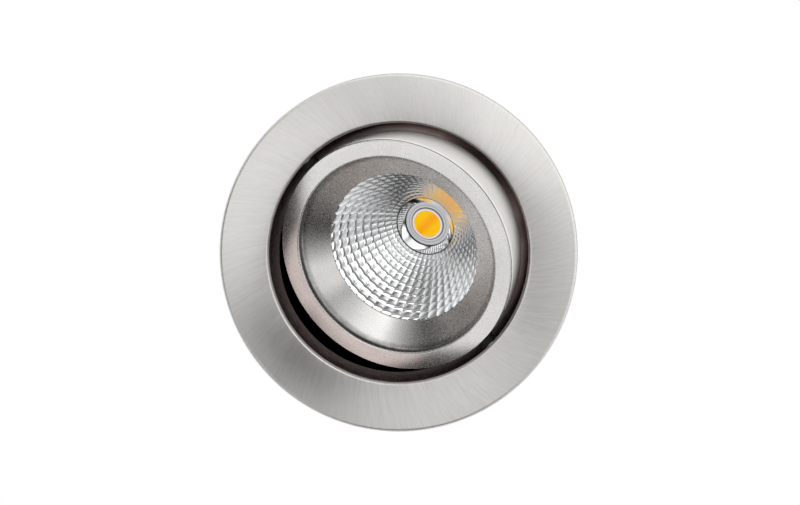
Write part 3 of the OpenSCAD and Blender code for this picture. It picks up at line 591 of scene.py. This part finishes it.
def turned_satin(name, colour, roughness, lines=0.5, relief=0.003):
    """Satin nickel with very fine lathe lines round the axis and a soft unevenness of the plating."""
    material, shader = finish(name, colour, 1.0, roughness, anisotropic=0.8, anisotropic_rotation=0.25)
    spot = own_place(material)
    parts = put(material, "ShaderNodeSeparateXYZ", {"Vector": spot}).outputs
    flat = put(material, "ShaderNodeCombineXYZ", {"X": parts["X"], "Y": parts["Y"]}).outputs[0]
    reach = vector_sums(material, "LENGTH", flat)
    way = vector_sums(material, "NORMALIZE", flat)
    ways = put(material, "ShaderNodeSeparateXYZ", {"Vector": way}).outputs
    lathe_scale, round_scale, mist_scale, cloud_scale = 4500.0, 3.0, 2600.0, 160.0
    across = weighed(material, reach, lathe_scale, parts["Z"], lathe_scale)
    turns = [sums(material, "MULTIPLY", ways[axis], round_scale) for axis in "XY"]
    lathe = put(material, "ShaderNodeCombineXYZ", {"X": across, "Y": turns[0], "Z": turns[1]}).outputs[0]
    rings = noise_of(material, lathe, 1.0, 2.0)
    mist = noise_of(material, spot, mist_scale, 2.0)
    cloud = noise_of(material, spot, cloud_scale, 3.0)
    tone = weighed(material, rings, lines, cloud, 1.0 - lines)
    feed(material, shader, "Base Color", toned(material, tone, 0.35, 0.65, colour, 0.94, 1.04))
    glossed(material, shader, mist, roughness - 0.02, roughness + 0.03)
    around = vector_sums(material, "CROSS_PRODUCT", (0.0, 0.0, 1.0), way)
    tilted = {"Vector": around, "Axis": tuple(tilt_axis), "Angle": head_tilt}
    around = put(material, "ShaderNodeVectorRotate", tilted, rotation_type="AXIS_ANGLE").outputs[0]
    turned_with = put(
        material, "ShaderNodeVectorTransform", {"Vector": around},
        vector_type="VECTOR", convert_from="OBJECT", convert_to="WORLD",
    )
    feed(material, shader, "Tangent", turned_with.outputs[0])
    bumped(material, shader, weighed(material, rings, 0.8, mist, 0.2), relief, 0.2)
    return material


head_metal = turned_satin("satin_head_metal", (0.78, 0.765, 0.75), 0.32)
shell_r, shell_wall = 28.85, 1.8
shell_front, shell_rear = -1.5, 21.4
cone_start, cone_start_r, rear_r = 11.0, 29.85, 18.86
rear_opening, rear_flange, cone_wall = 13.8, 2.6, 2.6


def shell_outline(radius, inset, start, stop, count=36):
    """Points on the sphere, cut by the rear cone, from start to stop along the axis."""
    points = []
    for k in range(count + 1):
        u = start + (stop - start) * k / count
        cone = cone_start_r + (rear_r - cone_start_r) * (u - cone_start) / (shell_rear - cone_start) - inset
        points.append((min(math.sqrt(radius ** 2 - u ** 2), cone), u))
    return points


shell_section = [(shell_r - 0.42, shell_front), (shell_r - 0.2, shell_front + 0.06)]
shell_section += [(shell_r - 0.06, shell_front + 0.24)]
shell_section += shell_outline(shell_r, 0.0, shell_front + 0.5, shell_rear)
shell_section += [(rear_opening, shell_rear), (rear_opening, shell_rear - rear_flange)]
shell_section += shell_outline(shell_r - shell_wall, cone_wall, shell_rear - rear_flange, shell_front)
shell = turned("spherical_head_shell", eased(shell_section, 0.15), head)
fitted(shell, head_metal, "head", "head_shell")

# ---- Front bezel and its seal ----
# Turned in one piece: a flat satin front ring, a small round lip at its mouth, the smooth bowl behind it and a skirt
# that snaps into the shell. A thin black seal closes the joint, and shows as a dark line round the ring.
bezel_metal = turned_satin("satin_bezel_metal", (0.66, 0.648, 0.635), 0.26, 0.4, 0.0005)
bowl_metal = turned_satin("satin_bowl_metal", (0.80, 0.785, 0.765), 0.26, 0.3, 0.001)


def painted_shade_in_turn(material, shaded_z, unshaded_z):
    """Painted shade: the tight turn behind the mouth is painted dark, fading out deeper in, with an uneven edge."""
    shader = material.node_tree.nodes["Principled BSDF"]
    unshaded_colour = shader.inputs["Base Color"].links[0].from_socket
    spot = own_place(material)
    depth = put(material, "ShaderNodeSeparateXYZ", {"Vector": spot}).outputs["Z"]
    cloud_scale, cloud_reach, most_shade, shade_colour = 700.0, 0.5, 0.93, (0.03, 0.028, 0.026)
    uneven = sums(material, "MULTIPLY", noise_of(material, spot, cloud_scale, 3.0), cloud_reach * MM)
    share = ramp(material, sums(material, "ADD", depth, uneven), shaded_z * MM, unshaded_z * MM, most_shade, 0.0)
    feed(material, shader, "Base Color", blended(material, share, unshaded_colour, shade_colour))


# Painted shade in the bowl's tight turn, just behind the mouth.
painted_shade_in_turn(bowl_metal, shaded_z=-1.0, unshaded_z=0.1)
bezel_r, bezel_front, bezel_back, bezel_edge = 28.69, -2.5, -1.95, 0.15
mouth_r, mouth_lip = 24.64, 0.35
bowl_slope, bowl_turn_r = math.radians(37.0), 1.80
bowl_inner_r, bowl_inner_z = 18.60, 3.30
bowl_sheet, sheet_from, bowl_from, bowl_within = 0.9, 0.8, 0.6, 24.7
skirt_in, skirt_out, skirt_end = 26.0, 27.0, 5.2


def bowl_wall(off):
    """The bowl's wall from the mouth inwards, off mm behind its face: a tight turn, then a straight cone."""
    centre_r, centre_z, turn_r = mouth_r - bowl_turn_r, bezel_front + mouth_lip, bowl_turn_r + off
    wall = []
    for k in range(17):
        t = (math.pi / 2.0 - bowl_slope) * k / 16
        wall.append((centre_r + turn_r * math.cos(t), centre_z + turn_r * math.sin(t)))
    end = (bowl_inner_r + off * math.sin(bowl_slope), bowl_inner_z + off * math.cos(bowl_slope))
    start = wall[-1]
    for k in range(1, 13):
        s = k / 12
        wall.append((start[0] + s * (end[0] - start[0]), start[1] + s * (end[1] - start[1])))
    return wall


bezel_section = [(skirt_out, bezel_back), (bezel_r, bezel_back), (bezel_r, bezel_front + bezel_edge)]
bezel_section += [(bezel_r - 0.05, bezel_front + 0.05), (bezel_r - bezel_edge, bezel_front)]
bezel_section.append((mouth_r + mouth_lip, bezel_front))
for k in range(1, 6):
    t = math.radians(90.0 * k / 6)
    bezel_section.append((mouth_r + mouth_lip * (1.0 - math.sin(t)), bezel_front + mouth_lip * (1.0 - math.cos(t))))
bezel_section += bowl_wall(0.0)
bezel_section += [point for point in reversed(bowl_wall(bowl_sheet)) if point[1] > bezel_back + sheet_from]
bezel_section += [(skirt_in, bezel_back + 0.3), (skirt_in, skirt_end), (skirt_out, skirt_end)]
bezel = turned("front_ring_and_bowl", bezel_section, head, 288)
fitted(bezel, bezel_metal, "head", "front_bezel")
bezel.data.materials.append(bowl_metal)
own = bezel.data.attributes["own_place"].data
for face in bezel.data.polygons:
    middle = sum((own[i].vector for i in face.vertices), Vector()) / len(face.vertices)
    if middle.z > (bezel_front + bowl_from) * MM and math.hypot(middle.x, middle.y) < bowl_within * MM:
        face.material_index = 1

seal_rubber = speckled("black_seal_rubber", (0.010, 0.010, 0.010), 0.6, 0.15, 0.2, 0.01)
seal_in, seal_out = 27.0, 28.6
seal_section = [(seal_in, bezel_back), (28.64, bezel_back), (28.68, bezel_back + 0.2)]
seal_section += [(seal_out, shell_front), (seal_in, shell_front)]
seal = turned("bezel_seal_ring", seal_section, head)
fitted(seal, seal_rubber, "head", "bezel_seal")

# ---- Reflector ----
# A moulded bowl with a vacuum-metallised mirror inside: 48 columns and 9 rows of small pillows, smaller towards the
# lamp, then a smooth polished neck. It is clamped between the bezel's bowl and the LED's holder.
mirror_r, mirror_depth, mirror_floor = 18.6, 16.3, 19.9
neck_r, neck_h, bowl_power = 5.1, 0.3, 0.79
columns = 48
row_tops = [16.3, 14.45, 12.6, 10.75, 8.9, 7.15, 5.555, 4.115, 2.83, 1.70]
pillow_bend = math.tan(math.radians(7.5))
pillow_cells = 8


def mirror_wall(h):
    """The mirror's radius at h mm above its floor."""
    return neck_r + (mirror_r - neck_r) * (h / mirror_depth) ** bowl_power


def wall_point(h, angle):
    """The point of the mirror's wall at h mm above its floor, at an angle round the head's axis."""
    return Vector((mirror_wall(h) * math.cos(angle), mirror_wall(h) * math.sin(angle), mirror_floor - h))


points, faces = [], []
for row in range(len(row_tops) - 1):
    top, low = row_tops[row], row_tops[row + 1]
    for column in range(columns):
        a, b = FULL_TURN * column / columns, FULL_TURN * (column + 1) / columns
        corners = [wall_point(top, a), wall_point(top, b), wall_point(low, b), wall_point(low, a)]
        inwards = (corners[1] - corners[3]).cross(corners[0] - corners[2]).normalized()
        if inwards.dot(Vector((math.cos((a + b) / 2), math.sin((a + b) / 2), 0.0))) > 0.0:
            inwards = -inwards
        rise_across = pillow_bend * (corners[0] - corners[1]).length / 4.0
        rise_along = pillow_bend * (corners[0] - corners[3]).length / 4.0
        first = len(points)
        for i in range(pillow_cells + 1):
            for j in range(pillow_cells + 1):
                s, t = i / pillow_cells, j / pillow_cells
                flat = (1 - t) * ((1 - s) * corners[0] + s * corners[1]) + t * ((1 - s) * corners[3] + s * corners[2])
                dome = rise_across * (1.0 - (2.0 * s - 1.0) ** 2) + rise_along * (1.0 - (2.0 * t - 1.0) ** 2)
                points.append(flat + dome * inwards)
        for i in range(pillow_cells):
            for j in range(pillow_cells):
                k = first + i * (pillow_cells + 1) + j
                faces.append((k, k + 1, k + pillow_cells + 2, k + pillow_cells + 1))
mirror_mesh = bpy.data.meshes.new("faceted_reflector")
mirror_mesh.from_pydata([tuple(c * MM for c in p) for p in points], [], faces)
for face in mirror_mesh.polygons:
    face.use_smooth = True

# The neck and the outside of the bowl, left open where the pillows are
foot_r, foot_top, holder_r, holder_top = 6.9, 19.0, 9.2, 18.2
mouth_flange_r, mouth_low, mouth_high = 20.4, 3.6, 4.6
back_section = [(mirror_wall(h), mirror_floor - h) for h in (row_tops[-1], 1.4, 1.1, 0.8, 0.55, neck_h)]
back_section += [(foot_r, mirror_floor - neck_h), (foot_r, foot_top), (holder_r, foot_top), (holder_r, holder_top)]
back_section += [(mirror_wall(h) + 1.0, mirror_floor - h - 0.5) for h in (2.4, 4.0, 6.0, 8.0, 10.0, 12.0, 14.0)]
back_section += [(mouth_flange_r, mouth_high), (mouth_flange_r, mouth_low), (mirror_r, mouth_low), (mirror_r, 3.62)]
back = turned("reflector_back", back_section, steps=144, closed=False)

# The fine black rim at the mouth and the line at the neck
rim = turned("moulded_rim", [(18.56, 3.61), (18.66, 3.61), (18.6, 3.9), (18.42, 3.9), (18.42, 3.72)], steps=192)
line_points = ((row_tops[-1], -0.02), (1.52, -0.04), (1.52, 0.1), (row_tops[-1], 0.1))
neck_line = [(mirror_wall(h) + off, mirror_floor - h) for h, off in line_points]
rim = joined(rim, turned("neck_line", neck_line, steps=144))

whole = bmesh.new()
whole.from_mesh(back.data)
whole.from_mesh(mirror_mesh)
metal_faces = len(whole.faces)
whole.from_mesh(rim.data)
whole.to_mesh(mirror_mesh)
whole.free()
for piece in (back, rim):
    bpy.data.objects.remove(piece)
for face in list(mirror_mesh.polygons)[metal_faces:]:
    face.material_index = 1
seated(mirror_mesh, head)
mirror = placed("faceted_reflector", mirror_mesh)
mirror.data.set_sharp_from_angle(angle=math.radians(30.0))


def metallised(name, colour):
    """Vacuum-metallised lacquer: a near mirror with a faint orange-peel and a thin haze."""
    material, shader = finish(name, colour, 1.0, 0.05)
    spot = own_place(material)
    peel_scale, haze_scale = 900.0, 220.0
    peel = noise_of(material, spot, peel_scale, 2.0)
    haze = noise_of(material, spot, haze_scale, 3.0)
    feed(material, shader, "Base Color", toned(material, haze, 0.35, 0.65, colour, 0.96, 1.0))
    glossed(material, shader, haze, 0.035, 0.075)
    bumped(material, shader, peel, 0.002, 0.3)
    return material


mirror_metal = metallised("metallised_reflector", (0.90, 0.905, 0.91))
fitted(mirror, mirror_metal, "head", "reflector")
mirror.data.materials.append(washer_plastic)

# ---- LED: disc, dam, board, pad and holder ----
# A chip-on-board LED: an orange-yellow disc of phosphor in silicone, cast inside a white dam on a white ceramic
# board. A thermal pad lies under the board, and a moulded holder with two screws clamps both to the heat sink.


def phosphor_finish():
    """Silicone gel full of phosphor: deep yellow-orange and glossy on top, with a painted shadow as a darker, redder
    band.
    """
    clear, deep = (1.0, 0.56, 0.0), (1.0, 0.37, 0.0)
    gloss = {"specular_ior_level": 0.05, "coat_weight": 0.3, "coat_ior": 1.38}
    material, shader = finish("phosphor_gel", clear, 0.0, 0.3, **gloss)
    spot = own_place(material)
    band_scale, cloud_scale = 700.0, 1400.0
    parts = put(material, "ShaderNodeSeparateXYZ", {"Vector": spot}).outputs
    # The darker, redder band across the disc is a painted shadow, made uneven by the clouds.
    across = weighed(material, parts["X"], band_scale, parts["Y"], band_scale)
    band = ramp(material, sums(material, "ABSOLUTE", across), 0.3, 1.7, 1.0, 0.0)
    cloud = noise_of(material, spot, cloud_scale, 3.0)
    share = sums(material, "MULTIPLY", band, ramp(material, cloud, 0.25, 0.75, 0.75, 1.0))
    feed(material, shader, "Base Color", blended(material, share, clear, deep))
    glossed(material, shader, cloud, 0.24, 0.4)
    bumped(material, shader, cloud, 0.02, 0.4)
    return material


disc_r, disc_front, disc_back, disc_climb = 3.35, 19.9, 20.1, 0.02
disc_section = [(0.0, disc_back), (disc_r, disc_back), (disc_r, disc_front + disc_climb)]
disc_section += [(disc_r * (1.0 - k / 10), disc_front + disc_climb * (1.0 - k / 10) ** 6) for k in range(1, 11)]
disc = turned("phosphor_disc", disc_section, head, 96)
fitted(disc, phosphor_finish(), "head", "led_phosphor")

dam_silicone = speckled("white_dam_silicone", (0.80, 0.77, 0.80), 0.35, 0.2, 0.04, 0.01)
dam_middle, dam_half, dam_foot, dam_rise, dam_out = 3.625, 0.275, 0.03, 0.18, 3.9
dam_section = [(disc_r, disc_back), (disc_r, disc_front)]
for k in range(9):
    t = math.radians(180.0 - 22.5 * k)
    dam_section.append((dam_middle + dam_half * math.cos(t), disc_front + dam_foot - dam_rise * math.sin(t)))
dam_section += [(dam_out, disc_back)]
dam = turned("silicone_dam", dam_section, head, 96)
fitted(dam, dam_silicone, "head", "led_dam")


def board_with_painted_shadows():
    """White ceramic, with painted shadows as dark rings at the dam's foot and under the neck, and a thin grey ring."""
    material, shader = finish("white_board_ceramic", (0.56, 0.56, 0.58), 0.0, 0.3)
    spot = own_place(material)
    in_mm = (1000.0, 1000.0, 0.0)
    flat = vector_sums(material, "MULTIPLY", spot, in_mm)
    reach = vector_sums(material, "LENGTH", flat)
    grain_scale, line_blur = 4000.0, 0.05
    grain = noise_of(material, spot, grain_scale, 3.0, 0.6)
    lines = []
    # Painted shadows: the dark rings at 4.02 and 5.75 mm are the shade at the dam's foot and under the neck's edge.
    for middle, half, strength in ((4.02, 0.10, 0.95), (4.72, 0.05, 0.5), (5.75, 0.22, 0.95)):
        away = sums(material, "ABSOLUTE", sums(material, "SUBTRACT", reach, middle))
        lines.append(ramp(material, away, half, half + line_blur, strength, 0.0))
    dark = sums(material, "MAXIMUM", sums(material, "MAXIMUM", lines[0], lines[1]), lines[2])
    plain = blended(material, ramp(material, grain, 0.3, 0.7, 0.0, 1.0), (0.53, 0.53, 0.55), (0.59, 0.59, 0.61))
    feed(material, shader, "Base Color", blended(material, dark, plain, (0.012, 0.012, 0.013)))
    glossed(material, shader, grain, 0.26, 0.36)
    bumped(material, shader, grain, 0.006, 0.5)
    return material


board_ceramic = board_with_painted_shadows()
pad_rubber = speckled("thermal_pad_rubber", (0.42, 0.33, 0.34), 0.7, 0.2, 0.12, 0.03)
holder_plastic = speckled("white_holder_plastic", (0.50, 0.50, 0.49), 0.42, 0.3, 0.05, 0.015)
dressed("ceramic_board", "led_board", 0.08, board_ceramic, "head", head)
dressed("thermal_pad_sheet", "thermal_pad", 0.05, pad_rubber, "head", head)
dressed("moulded_led_holder", "led_holder", 0.15, holder_plastic, "head", head)
dressed("led_holder_screws", "holder_screws", 0.1, screw_steel, "head", head)

# ---- Heat sink, its screws and the gland ----
# Pressure die-cast aluminium, tumbled and left bare: a round base, a core and tapering fins, bored through for the
# lead. Three socket screws hold it to the shell, and a ribbed rubber gland in its tail grips the lead.


def cast_metal(name, colour, roughness):
    """Bare die-cast aluminium, with a fine tumbled grain, flow clouds and brighter worn edges."""
    material, shader = finish(name, colour, 1.0, roughness)
    spot = own_place(material)
    grain_scale, flow_scale = 5200.0, 190.0
    grain = noise_of(material, spot, grain_scale, 2.0, 0.6)
    flow = noise_of(material, spot, flow_scale, 4.0, 0.6)
    worn = put(material, "ShaderNodeNewGeometry").outputs["Pointiness"]
    edge = ramp(material, worn, 0.52, 0.6, 0.0, 0.8)
    tone = weighed(material, grain, 0.4, flow, 0.6)
    body = toned(material, tone, 0.36, 0.64, colour, 0.84, 1.08)
    feed(material, shader, "Base Color", blended(material, edge, body, (0.80, 0.80, 0.81)))
    glossed(material, shader, flow, roughness - 0.06, roughness + 0.08)
    bumped(material, shader, tone, 0.03, 0.5)
    return material


sink_aluminium = cast_metal("cast_sink_aluminium", (0.60, 0.605, 0.615), 0.44)
dressed("finned_heat_sink", "heat_sink", 0.18, sink_aluminium, "head", head)
dressed("heat_sink_socket_screws", "heat_sink_screws", 0.12, screw_steel, "head", head)

gland_r, gland_lip, gland_bore = 3.4, 4.5, 2.25
tail_u, gland_depth, gland_head = 42.0, 4.0, 1.2
bore_rib = gland_bore + 0.25
gland_points = [
    (gland_bore, -gland_depth), (gland_r - 0.3, -gland_depth), (gland_r, 0.4 - gland_depth), (gland_r, 0.0),
    (gland_lip, 0.0), (gland_lip - 0.04, 0.35), (4.2, 0.42), (4.1, 0.62), (4.3, 0.7), (4.1, 1.0),
    (3.75, gland_head), (2.9, gland_head), (gland_bore + 0.15, 1.05), (gland_bore, 0.8), (gland_bore, -0.6),
    (bore_rib, -1.0), (gland_bore, -1.4), (gland_bore, -2.2), (bore_rib, -2.6), (gland_bore, -3.0),
]
gland_section = [(r, tail_u + above_tail) for r, above_tail in gland_points]
gland_rubber = speckled("black_gland_rubber", (0.016, 0.016, 0.017), 0.55, 0.25, 0.2, 0.015)
gland = turned("ribbed_lead_gland", eased(gland_section, 0.08, 2), head, 96)
fitted(gland, gland_rubber, "head", "lead_gland")

# ---- Floor, backdrop and light ----
# A pale floor below and a pale backdrop above, in an even white room. A tent of cloth with bright windows, which no
# camera sees, stands round the camera and lights the metal. A black disc far behind is painted shade for the gap
# round the head, and a dark flag that no camera sees keeps the light from behind out of it.


def stage_sheet(name, middle, facing, width, height, colour, seen):
    """A flat sheet of the studio. One that is not seen still lights or darkens what reflects it."""
    x, y = width / 2, height / 2
    points = [(-x, -y, 0), (x, -y, 0), (x, y, 0), (-x, y, 0)]
    mesh = bpy.data.meshes.new(name)
    mesh.from_pydata(points, [], [(0, 1, 2, 3)])
    sheet = placed(name, mesh)
    sheet.location = middle
    sheet.rotation_euler = Vector(facing).to_track_quat("Z", "Y").to_euler()
    material, shader = finish(name + "_colour", colour, 0.0, 0.9)
    if seen:
        path = put(material, "ShaderNodeLightPath").outputs
        mirrored = sums(material, "MAXIMUM", path["Is Glossy Ray"], path["Is Transmission Ray"])
        rays = sums(material, "MAXIMUM", path["Is Camera Ray"], mirrored)
        glow = put(material, "ShaderNodeEmission", {"Color": (1.0, 1.0, 1.0, 1.0), "Strength": 1.0}).outputs[0]
        mixed = put(material, "ShaderNodeMixShader", {0: rays, 1: shader.outputs[0], 2: glow}).outputs[0]
        material.node_tree.links.new(mixed, material.node_tree.nodes["Material Output"].inputs["Surface"])
    mesh.materials.append(material)
    sheet.visible_camera = seen


pale, nearly_black = (0.8, 0.8, 0.8), (0.01, 0.01, 0.01)
stage_sheet("pale_floor", (0, 0, -3.0), (0, 0, 1), 3.0, 3.0, pale, True)
stage_sheet("pale_backdrop", (0, 0, 21.0), (0, 0, -1), 6.4, 6.4, pale, True)


def soft_step(value, low, high):
    """A soft rise from 0 at low to 1 at high."""
    s = max(0.0, min(1.0, (value - low) / (high - low)))
    return s * s * (3.0 - 2.0 * s)


def window(azimuth, off, first, last, near, far, edge_azimuth):
    """How much of a bright window is met, from 0 to 1, at an azimuth in the picture and an angle off the axis."""
    middle, half = (first + last) / 2.0, (last - first) / 2.0
    turn_off = abs((azimuth - middle + 180.0) % 360.0 - 180.0)
    sideways = 1.0 - soft_step(turn_off, half - edge_azimuth, half + edge_azimuth)
    opens = soft_step(off, near - edge_off, near + edge_off)
    closes = 1.0 - soft_step(off, far - edge_off, far + edge_off)
    return sideways * opens * closes


# Each window's brightness, its first and last azimuth, where it starts and ends off the axis, and how soft its sides
# are, in degrees. The cloth between them is dim, and black further out.
tent_windows = (
    (0.90, 25.0, 168.0, 11.0, 34.0, 32.0),
    (0.20, 282.0, 318.0, 12.0, 30.0, 10.0),
    (0.95, -28.0, 14.0, 19.0, 34.0, 14.0),
    (1.35, -42.0, 133.0, 32.0, 100.0, 10.0),
    (1.35, 182.0, 256.0, 24.0, 64.0, 10.0),
)
cloth_tone, brightest, edge_off = 0.15, 1.6, 4.0


def tent_tone(azimuth, off):
    """The tent's brightness at an azimuth in the picture and an angle off the axis."""
    tone = cloth_tone
    for bright, first, last, near, far, edge_azimuth in tent_windows:
        tone += bright * window(azimuth, off, first, last, near, far, edge_azimuth)
    dark = cloth_tone * soft_step(off, 30.0, 40.0)
    return max(0.0, min(tone - dark, brightest))


tent_r, tent_rows, tent_columns, tent_rim = 0.62, 44, 120, 88.0
points, tones = [], []
for i in range(tent_rows + 1):
    off = tent_rim * i / tent_rows
    for j in range(tent_columns):
        azimuth = 360.0 * j / tent_columns
        flat = tent_r * math.sin(math.radians(off))
        place = (flat * math.cos(math.radians(azimuth)), -flat * math.sin(math.radians(azimuth)))
        points.append((*place, -tent_r * math.cos(math.radians(off))))
        tones.append(tent_tone(azimuth, off))
tent_mesh = bpy.data.meshes.new("light_tent")
tent_mesh.from_pydata(points, [], ring_faces(tent_rows + 1, tent_columns, ends=False))
tent_mesh.attributes.new("tone", "FLOAT", "POINT").data.foreach_set("value", tones)
tent = placed("light_tent", tent_mesh)
tent_cloth, shader = finish("light_tent_cloth", (0.0, 0.0, 0.0), 0.0, 1.0, emission_strength=1.0)
feed(tent_cloth, shader, "Emission Color", put(tent_cloth, "ShaderNodeAttribute", attribute_name="tone").outputs["Fac"])
tent_cloth.cycles.emission_sampling = "NONE"
tent_mesh.materials.append(tent_cloth)
tent.visible_camera = False

# Painted shade: a black disc far behind, which the camera sees through the gap round the head.
card_r, card_z, card_sides = 0.96, 20.0, 48
card_mesh = bpy.data.meshes.new("dark_card_behind_the_bore")
round_card = [FULL_TURN * k / card_sides for k in range(card_sides)]
card_points = [(card_r * math.cos(a), card_r * math.sin(a), card_z) for a in round_card]
card_mesh.from_pydata(card_points, [], [tuple(range(card_sides))])
card_mesh.materials.append(finish("dark_card_colour", (0.0, 0.0, 0.0), 0.0, 1.0, specular_ior_level=0.0)[0])
placed("dark_card_behind_the_bore", card_mesh)

stage_sheet("dark_flag_behind", (0, 0, 0.26), (0, 0, -1), 0.5, 0.5, nearly_black, False)

room = bpy.data.worlds.new("white_room")
bpy.context.scene.world = room
room.use_nodes = True
white_air = room.node_tree.nodes["Background"].inputs
white_air["Color"].default_value = (1.0, 1.0, 1.0, 1.0)
white_air["Strength"].default_value = 1.0

lamp_data = bpy.data.lights.new("soft_lamp", "AREA")
lamp_data.shape = "DISK"
lamp_data.size = 0.3
lamp_data.energy = 1.2
lamp = placed("soft_lamp", lamp_data)
lamp_way, lamp_distance = Vector((-0.348, 0.348, -0.870)), 0.5
lamp.location = lamp_distance * lamp_way
lamp.rotation_euler = lamp_way.to_track_quat("Z", "Y").to_euler()
lamp.visible_glossy = False
lamp.visible_camera = False
